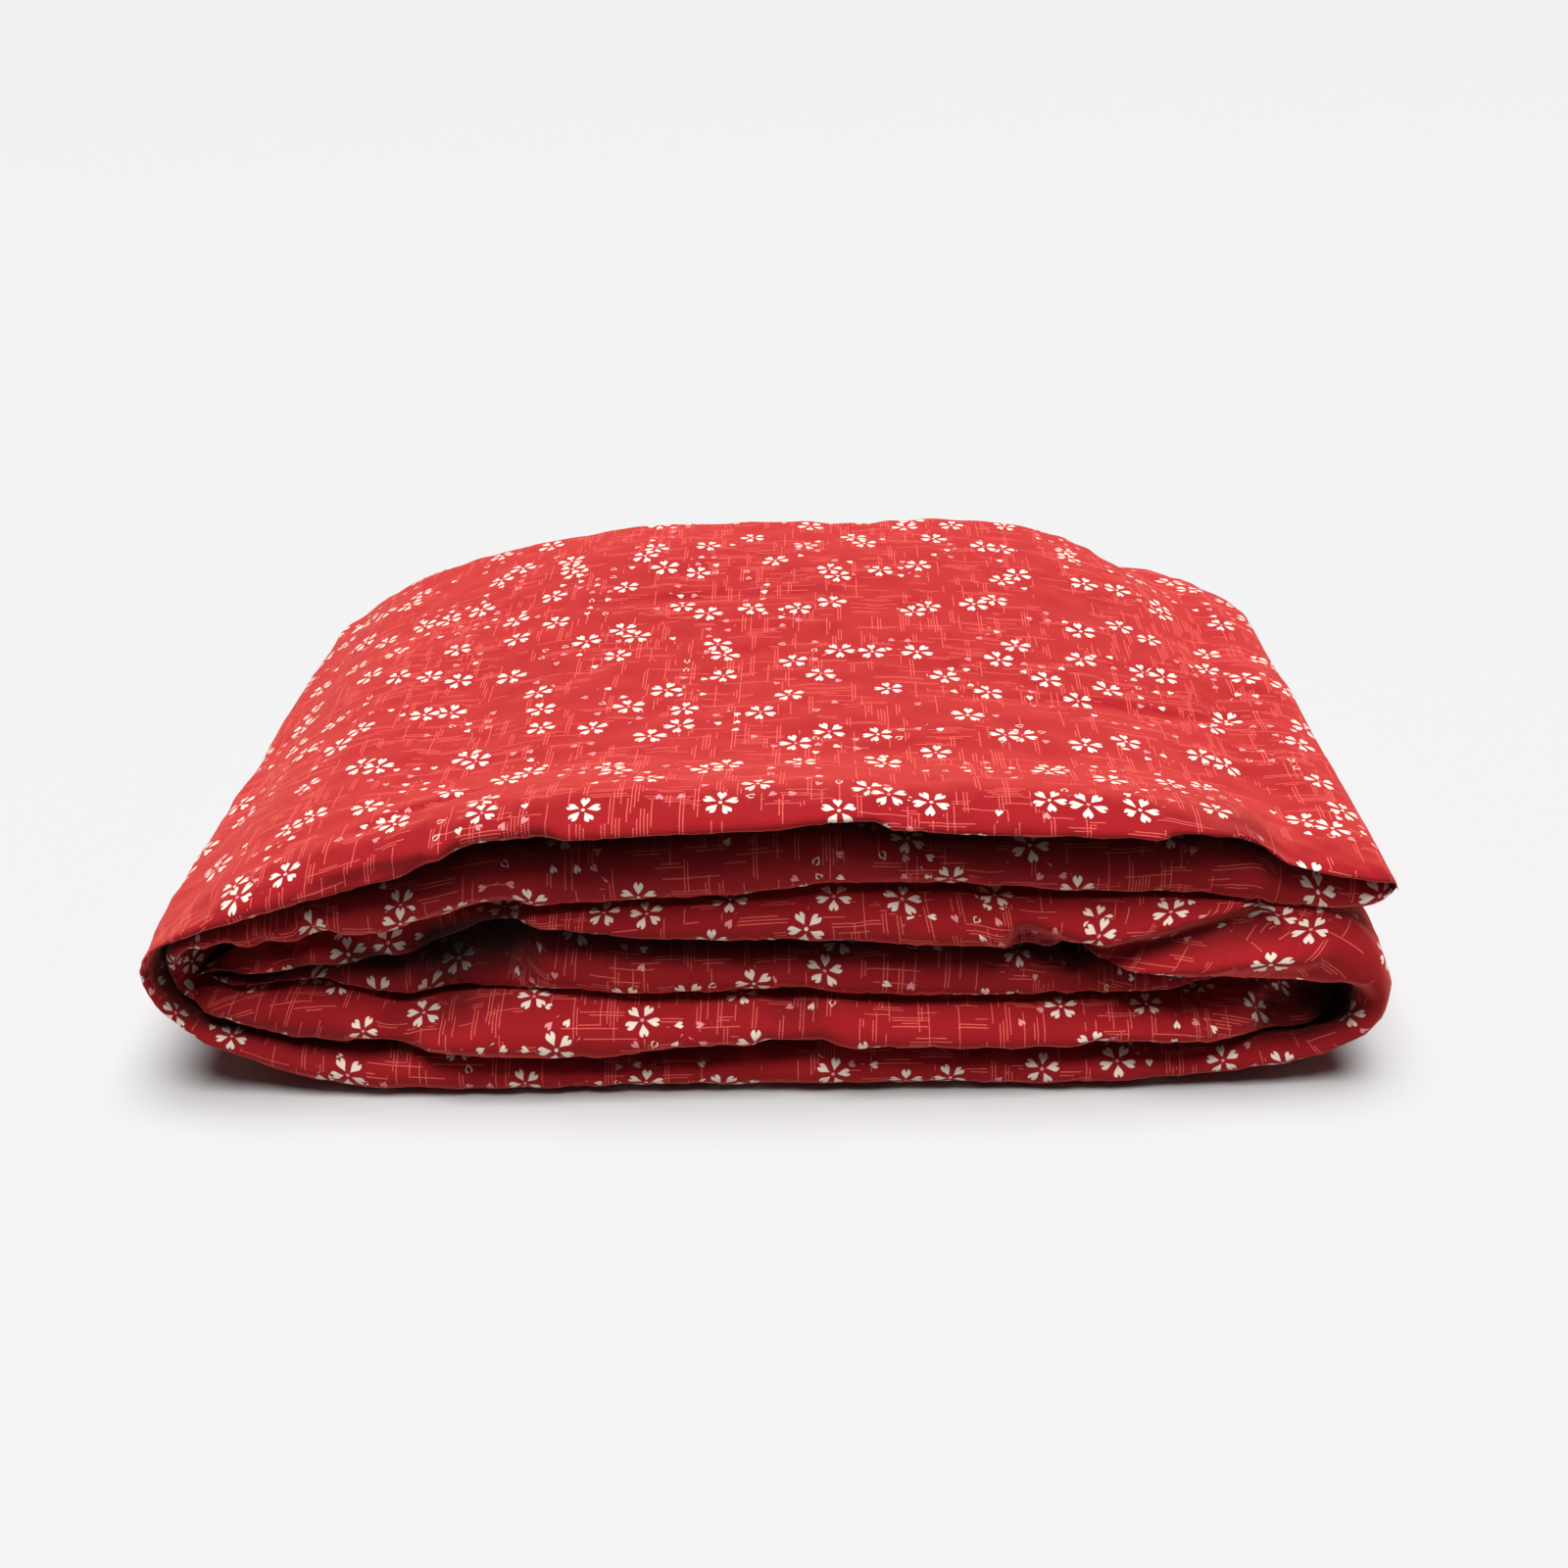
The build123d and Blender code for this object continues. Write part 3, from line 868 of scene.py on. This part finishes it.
# %% The print on the ground
upright = thread_layer(graph, v, u, 2.0)
level = thread_layer(graph, u, v, 5.0)
threads = graph.either(upright, level)
print_masks = []
for seed in (1.0, 8.0):
    print_masks.append(blossom_layer(graph, u, v, BLOSSOM_CELL, BLOSSOM_RADIUS, seed))
disc = graph.either(print_masks[0][2], print_masks[1][2])
free = graph.math("SUBTRACT", 1.0, disc)
hearts, pink_hearts = heart_layer(graph, u, v, PETAL_CELL, PETAL_LENGTH, 3.0)
worn = graph.math("MULTIPLY_ADD", graph.noise(u, v, 0.004, seed=4.0), 0.5, 0.65, clamp=True)
colour = graph.mix(graph.both(threads, free, worn), ground_and_painted_sheen, CORAL)
heart_colour = graph.mix(pink_hearts, CREAM, PINK)
colour = graph.mix(graph.both(hearts, free), colour, heart_colour)
for petals, centre, whole, dice in print_masks:
    colour = graph.mix(whole, colour, ground_and_painted_sheen)
    colour = graph.mix(petals, colour, CREAM)
    centre_colour = graph.mix(graph.below(0.5, dice[1], 0.01), CREAM, PINK)
    colour = graph.mix(centre, colour, centre_colour)
per_metre = 2 / BLOSSOM_CELL**2
print(f"{per_metre:.0f} blossoms to a square metre, {2000 * BLOSSOM_RADIUS:.0f} mm across")

# %% [markdown]
# A twill weave runs diagonally over all of it: ribs a little over 1 mm apart along the
# strip, broken by the single threads. The ribs are far too fine to model as faces. The
# weave roughens the light through a bump, and darkens the print a little between the
# threads as painted shade in its hollows, so that cream areas look woven and not painted.
# Deep between the rolls the colour is darkened further, as painted shade where little
# light gets in. The surface works out how much painted shade each point gets, and hands
# that over as an attribute.

# %% Weave
RIB_PITCH, THREAD_PITCH = 0.00125, 0.00066
diagonal = graph.math("ADD", u, graph.math("MULTIPLY", v, 1.7))
rib = graph.math("SINE", graph.math("MULTIPLY", diagonal, 2 * math.pi / RIB_PITCH))
thread = graph.math("SINE", graph.math("MULTIPLY", v, 2 * math.pi / THREAD_PITCH))
weave = graph.math("MULTIPLY_ADD", rib, 0.5, graph.math("MULTIPLY", thread, 0.5))
weave = graph.math("ADD", weave, graph.noise(u, v, 0.0007, detail=1.0))
# painted shade in the weave's hollows: the colour darkens where the weave is low
painted_shade_scale = graph.math("MULTIPLY_ADD", weave, 0.15, 0.90)
# painted shade from the surface's attribute darkens the colour by up to 95 %
shelter = graph.node("ShaderNodeAttribute", attribute_name="shelter").outputs["Fac"]
open_share = graph.math("SUBTRACT", 1.0, graph.math("MULTIPLY", shelter, 0.95))
painted_shade_scale = graph.math("MULTIPLY", painted_shade_scale, open_share)
colour = graph.node("ShaderNodeVectorMath", [(0, colour), ("Scale", painted_shade_scale)], operation="SCALE")
graph.tree.links.new(colour.outputs[0], shader.inputs["Base Color"])
weave_inputs = [("Height", weave), ("Strength", 0.6), ("Distance", 0.00015)]
weave_bump = graph.node("ShaderNodeBump", weave_inputs)
fine = graph.noise(u, v, 0.006, detail=4.0, seed=6.0)
crease_inputs = [("Height", fine), ("Strength", 0.5), ("Distance", 0.0006)]
crease_inputs += [("Normal", weave_bump.outputs[0])]
crease_bump = graph.node("ShaderNodeBump", crease_inputs)
graph.tree.links.new(crease_bump.outputs[0], shader.inputs["Normal"])
shader.inputs["Roughness"].default_value = 0.85
shader.inputs["Sheen Weight"].default_value = 0.18
shader.inputs["Sheen Roughness"].default_value = 0.45
shader.inputs["Sheen Tint"].default_value = (1, 0.35, 0.3, 1)
shader.inputs["Specular IOR Level"].default_value = 0.15
print("printed cotton has", len(graph.tree.nodes), "nodes")

# %% [markdown]
# ## Plain cloths, wadding, thread and metal
#
# What is inside the cover is plain: cream ticking, fluffy wadding, a firmer core, cotton
# thread and tape. They take their pattern from object coordinates. The zip keeps its CAD
# solids, and gets a woven tape, shining nylon coils and a metal slider. One function for
# each kind of surface is enough, because only colour and fineness differ.

# %% Woven cloth
def woven(name, colour, pitch, roughness=0.9, depth=0.0002):
    """Cloth of one colour: a crossing weave of the given pitch and a little unevenness."""
    material, graph, shader = finish_of(name)
    place = graph.node("ShaderNodeTexCoord").outputs["Object"]
    x, y, z = graph.node("ShaderNodeSeparateXYZ", [(0, place)]).outputs
    # 6.28 radians, one turn of the sine, to each pitch
    warp = graph.math("SINE", graph.math("MULTIPLY", graph.math("ADD", x, z), 6.28 / pitch))
    weft = graph.math("SINE", graph.math("MULTIPLY", y, 6.28 / pitch))
    height = graph.math("MULTIPLY", warp, weft)
    patches = graph.noise(graph.math("ADD", x, z), y, 0.03)
    darker = tuple(0.8 * c for c in colour[:3]) + (1,)
    graph.tree.links.new(graph.mix(patches, colour, darker), shader.inputs["Base Color"])
    relief_inputs = [("Height", height), ("Strength", 0.4), ("Distance", depth)]
    relief = graph.node("ShaderNodeBump", relief_inputs)
    graph.tree.links.new(relief.outputs[0], shader.inputs["Normal"])
    shader.inputs["Roughness"].default_value = roughness
    shader.inputs["Specular IOR Level"].default_value = 0.2
    return material


# %% Loose fibre
def fluffy(name, colour, size, depth):
    """Loose fibre: coarse and fine noise in colour and height."""
    material, graph, shader = finish_of(name)
    place = graph.node("ShaderNodeTexCoord").outputs["Object"]
    inputs = [("Vector", place), ("Scale", 1 / size), ("Detail", 6.0), ("Roughness", 0.7)]
    fibre = graph.node("ShaderNodeTexNoise", inputs).outputs[0]
    darker = tuple(0.72 * c for c in colour[:3]) + (1,)
    graph.tree.links.new(graph.mix(fibre, darker, colour), shader.inputs["Base Color"])
    relief_inputs = [("Height", fibre), ("Strength", 0.7), ("Distance", depth)]
    relief = graph.node("ShaderNodeBump", relief_inputs)
    graph.tree.links.new(relief.outputs[0], shader.inputs["Normal"])
    shader.inputs["Roughness"].default_value = 1.0
    shader.inputs["Sheen Weight"].default_value = 0.3
    return material


# %% Metal and nylon
def hard(name, colour, metallic, roughness, size):
    """Metal or nylon with a faint uneven shine."""
    material, graph, shader = finish_of(name)
    place = graph.node("ShaderNodeTexCoord").outputs["Object"]
    inputs = [("Vector", place), ("Scale", 1 / size), ("Detail", 4.0)]
    uneven = graph.node("ShaderNodeTexNoise", inputs).outputs[0]
    spread = graph.math("MULTIPLY_ADD", uneven, 0.3, roughness - 0.15)
    graph.tree.links.new(spread, shader.inputs["Roughness"])
    shader.inputs["Base Color"].default_value = colour
    shader.inputs["Metallic"].default_value = metallic
    return material


# %% The plain finishes
ticking_cloth = woven("plain_ticking", (0.78, 0.74, 0.64, 1), 0.0009)
soft_fibre = fluffy("soft_wadding", (0.86, 0.83, 0.76, 1), 0.02, 0.002)
firm_fibre = fluffy("firm_wadding", (0.74, 0.70, 0.62, 1), 0.012, 0.001)
thread_cotton = woven("cotton_thread", (0.80, 0.76, 0.68, 1), 0.0012)
tape_cotton = woven("cotton_tape", (0.82, 0.79, 0.72, 1), 0.0008)
zip_cloth = woven("zip_tape", (0.33, 0.02, 0.025, 1), 0.0007)
zip_nylon = hard("zip_coil", (0.38, 0.03, 0.035, 1), 0.0, 0.4, 0.002)
zip_metal = hard("zip_metal", (0.62, 0.60, 0.56, 1), 1.0, 0.35, 0.003)
plain = [ticking_cloth, soft_fibre, firm_fibre, thread_cotton, tape_cotton, zip_cloth]
plain += [zip_nylon, zip_metal]
print(len(plain), "plain finishes:", [finish.name.split(".")[0] for finish in plain])

# %% [markdown]
# ## The cover, the ticking and the filling
#
# Four bags lie one inside the other on the same surface: the cover, the ticking inside
# it, the soft wadding, and a firm core. Each is drawn in by a few millimetres from the
# one outside it, and the ones inside stop short of the cover's free ends. The Solidify
# modifier could thicken the cover into layers, but each bag here is a piece of its own.

# %% Place the cover and the bags inside it
place_sections(
    "cover", cover_surface, cloth_a, cloth_b, rows_s, cotton, cover_painted_shade
)
INNER_STEP, INNER_FINENESS, INNER_WAVES = 9, 0.5, 0.3
inner_s = np.linspace(12, knots[47] + 4, int(strip_end / INNER_STEP))
BAGS = [
    # name, draw and recess in mm, material, slot, fill
    ("ticking", 6.0, 6.5, ticking_cloth, "plain_ticking", 0.7),
    ("wadding", 7.6, 9.0, soft_fibre, "soft_wadding", 0.6),
    ("core", 11.0, 14.0, firm_fibre, "firm_wadding", 0.9),
]
inner_surfaces = {}
for kind, draw, recess, finish, slot, fill in BAGS:
    bag, _ = strip_surface(inner_s, draw, recess, INNER_FINENESS)
    bag_a, bag_b = cloth_places(bag, int(ROLL_POINTS * INNER_FINENESS) - 1)
    bag = softened(bag, bag_a, bag_b, INNER_WAVES)
    place_sections(kind, bag, bag_a, bag_b, inner_s, finish)
    inner_surfaces[kind] = bag

# %% [markdown]
# ## Stitches and corner ties
#
# Tufting stitches go through the filling so that it can't wander, four to each layer of
# each third. At the two free ends, short tapes tie the ticking to the cover's corners.
# Both are hidden by the cloth, so simple rods and boxes are enough.

# %% Tubes and tapes
def tubes(name, feet, heads, radius):
    """Closed round rods from feet to heads (mm), with domed ends, in one mesh.

    Seven rings stand at shares of the rise; each is a circle of its own share of the radius.
    """
    rise = np.array([0, 0.02, 0.08, 0.5, 0.92, 0.98, 1])
    width = np.array([0.05, 0.75, 1, 0.8, 1, 0.75, 0.05]) * radius
    side_count = 10
    turn = np.arange(side_count) * 2 * math.pi / side_count
    feet, heads = np.asarray(feet, float), np.asarray(heads, float)
    axis = feet[:, None, None] + (heads - feet)[:, None, None] * rise[None, :, None, None]
    ring = np.stack([np.cos(turn), np.sin(turn), 0 * turn], -1)
    points = axis + ring[None, None] * width[None, :, None, None]
    count, rings, sides = len(feet), len(rise), len(turn)
    index = np.arange(count * rings * sides).reshape(count, rings, sides)
    beside = np.roll(index, -1, 2)
    quads = np.stack([index[:, :-1], beside[:, :-1], beside[:, 1:], index[:, 1:]], -1)
    faces = quads.reshape(-1, 4).tolist()
    faces += index[:, 0, ::-1].tolist() + index[:, -1].tolist()
    mesh = bpy.data.meshes.new(name)
    mesh.from_pydata((points.reshape(-1, 3) * MM).tolist(), [], faces)
    mesh.polygons.foreach_set("use_smooth", np.ones(len(faces), bool))
    obj = bpy.data.objects.new(name, mesh)
    bpy.context.scene.collection.objects.link(obj)
    return obj


def boxes(name, centres, size):
    """Small closed boxes of one size (mm) at the centres, in one mesh."""
    corner = np.array([(-1, -1, -1), (1, -1, -1), (1, 1, -1), (-1, 1, -1)], float)
    corner = np.concatenate([corner, corner * (1, 1, -1)]) * np.array(size) / 2
    points = np.asarray(centres, float)[:, None] + corner[None]
    flat_faces = [(3, 2, 1, 0), (4, 5, 6, 7)]
    side_faces = [(0, 1, 5, 4), (1, 2, 6, 5), (2, 3, 7, 6), (3, 0, 4, 7)]
    face = np.array(flat_faces + side_faces)
    faces = (face[None] + 8 * np.arange(len(points))[:, None, None]).reshape(-1, 4)
    mesh = bpy.data.meshes.new(name)
    mesh.from_pydata((points.reshape(-1, 3) * MM).tolist(), [], faces.tolist())
    obj = bpy.data.objects.new(name, mesh)
    bpy.context.scene.collection.objects.link(obj)
    return obj


# %% Stitches through the filling
STITCH_ROWS = (-110, 110)  # y in mm
STITCH_INSET = 5
THIRDS = [
    # third, body, x middle, x spacing, from s, to s
    ("bottom", "root", 14.5, 262.7, left_fold_end, knots[29]),
    ("middle", "root", 21.1, 256.1, knots[36], strip_end),
    ("top", "top_third", 43.4, 291.6, 0, left_fold_start),
]
for third, body, middle_x, spacing, low, high in THIRDS:
    feet, heads = [], []
    rows = (inner_s >= low) & (inner_s <= high)
    points = inner_surfaces["wadding"][rows].reshape(-1, 3)
    for x in (middle_x - spacing / 2, middle_x + spacing / 2):
        for y in STITCH_ROWS:
            near = np.hypot(points[:, 0] - x, points[:, 1] - y) < 12
            floor_z = points[near, 2].min() + STITCH_INSET
            roof_z = points[near, 2].max() - STITCH_INSET
            middle_z = (floor_z + roof_z) / 2
            feet += [(x, y, floor_z), (x, y, middle_z + 1)]
            heads += [(x, y, middle_z - 1), (x, y, roof_z)]
    stitches = tubes(f"{third}_stitches", feet, heads, 1.0)
    stitches.data.materials.append(thread_cotton)
    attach(stitches, body)
    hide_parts(f"{third}_filling_stitches")
    print(f"{third} third: {len(feet)} stitches")

# %% Tapes at the free ends
TIE_ROWS = (-190, 135)  # y in mm
TIES = [
    # third, body, distance along the strip
    ("top", "top_third", 24.0),
    ("middle", "root", strip_end - 30),
]
for third, body, place in TIES:
    line = along(DEEP, np.array([place]))[0]
    x = (line[0] + line[2]) / 2
    centres = []
    for y in TIE_ROWS:
        centres += [(x, y, (line[1] + line[3]) / 2), (x, y, (line[3] + line[5]) / 2)]
    ties = boxes(f"{third}_tie_tapes", centres, (1.2, 10, 2.4))
    ties.data.materials.append(tape_cotton)
    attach(ties, body)
    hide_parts(f"{third}_corner_ties")
    print(f"{third} third: {len(centres)} tie tapes at x {x:.0f} mm")

# %% [markdown]
# ## The zip
#
# The zip is a hard, exact thing, so its CAD solids stay and only get their finishes.

# %% The zip's finishes
ZIP_FINISHES = {"zip_tape": zip_cloth, "zip_coil": zip_nylon, "zip_": zip_metal}
for obj in bpy.data.objects:
    if obj.type == "MESH" and obj.name.startswith("zip_"):
        start = next(key for key in ZIP_FINISHES if obj.name.startswith(key))
        obj.data.materials.clear()
        obj.data.materials.append(ZIP_FINISHES[start])
        print(obj.name, "is finished as", ZIP_FINISHES[start].name)

# %% [markdown]
# ## Camera, light and floor
#
# The camera stands in front of the open edges and looks down on the pile. One very soft
# light shines from overhead and a little from the front, so that the top is bright and
# the gaps between the rolls fall into deep shade. Several lamps would need balancing;
# one broad light gives the soft shadow of a large lamp over a table.

# %% Camera
pitch, yaw, roll = math.radians(25.35), math.radians(1.59), math.radians(1.60)
stand = Vector((0.040, -1.106, 0.595))
across = Vector((math.cos(yaw), math.sin(yaw), 0))
ahead = Vector((-math.sin(yaw), math.cos(yaw), 0))
sight = ahead * math.cos(pitch) - Vector((0, 0, math.sin(pitch)))
up = ahead * math.sin(pitch) + Vector((0, 0, math.cos(pitch)))
right = across * math.cos(roll) - up * math.sin(roll)
top = across * math.sin(roll) + up * math.cos(roll)
camera_data = bpy.data.cameras.new("camera")
camera_data.lens = 43.8
camera_data.sensor_width = 36
camera_data.clip_start = 0.01
camera = bpy.data.objects.new("camera", camera_data)
bpy.context.scene.collection.objects.link(camera)
turned = Matrix((right, top, -sight)).transposed().to_4x4()
camera.matrix_world = Matrix.Translation(stand) @ turned
bpy.context.scene.camera = camera
print(f"the camera is {stand.length:.2f} m from the pile's middle")

# %% [markdown]
# The world is bright to look at and dim as a lamp: a switch on the kind of ray gives the
# camera a pale backdrop without filling the gaps between the rolls with light.

# %% The backdrop
AS_LAMP, AS_SEEN = 0.06, 0.90
world = bpy.data.worlds.new("studio")
world.use_nodes = True
backdrop = world.node_tree.nodes["Background"]
backdrop.inputs["Color"].default_value = (0.9, 0.9, 0.9, 1)
seen = world.node_tree.nodes.new("ShaderNodeLightPath")
dimmer = world.node_tree.nodes.new("ShaderNodeMath")
dimmer.operation = "MULTIPLY_ADD"
dimmer.inputs[1].default_value = AS_SEEN - AS_LAMP
dimmer.inputs[2].default_value = AS_LAMP
world.node_tree.links.new(seen.outputs["Is Camera Ray"], dimmer.inputs[0])
world.node_tree.links.new(dimmer.outputs[0], backdrop.inputs["Strength"])
bpy.context.scene.world = world
print("backdrop strength", AS_SEEN, "seen and", AS_LAMP, "as a lamp")


# %% The light
def soft_sun(name, toward, spread, strength):
    """A light from far away, in the direction toward, as soft as a cloth of that spread."""
    data = bpy.data.lights.new(name, "SUN")
    data.angle = math.radians(spread)
    data.energy = strength
    light = bpy.data.objects.new(name, data)
    light.rotation_euler = Vector(toward).to_track_quat("Z", "Y").to_euler()
    bpy.context.scene.collection.objects.link(light)


soft_sun("overhead", (0.05, -0.14, 1), 46, 6.0)
bpy.context.scene.view_settings.view_transform = "Standard"
print("lights:", [light.name for light in bpy.data.lights])

# %% The floor
floor_mesh = bpy.data.meshes.new("floor")
reach = 40.0
corners = [(-reach, -reach, 0), (reach, -reach, 0), (reach, reach, 0), (-reach, reach, 0)]
floor_mesh.from_pydata(corners, [], [(0, 1, 2, 3)])
floor = bpy.data.objects.new("floor", floor_mesh)
bpy.context.scene.collection.objects.link(floor)
floor_finish = bpy.data.materials.new("pale_floor")
floor_finish.use_nodes = True
floor_shader = floor_finish.node_tree.nodes["Principled BSDF"]
floor_shader.inputs["Base Color"].default_value = (0.46, 0.46, 0.46, 1)
floor_shader.inputs["Roughness"].default_value = 0.9
floor_mesh.materials.append(floor_finish)
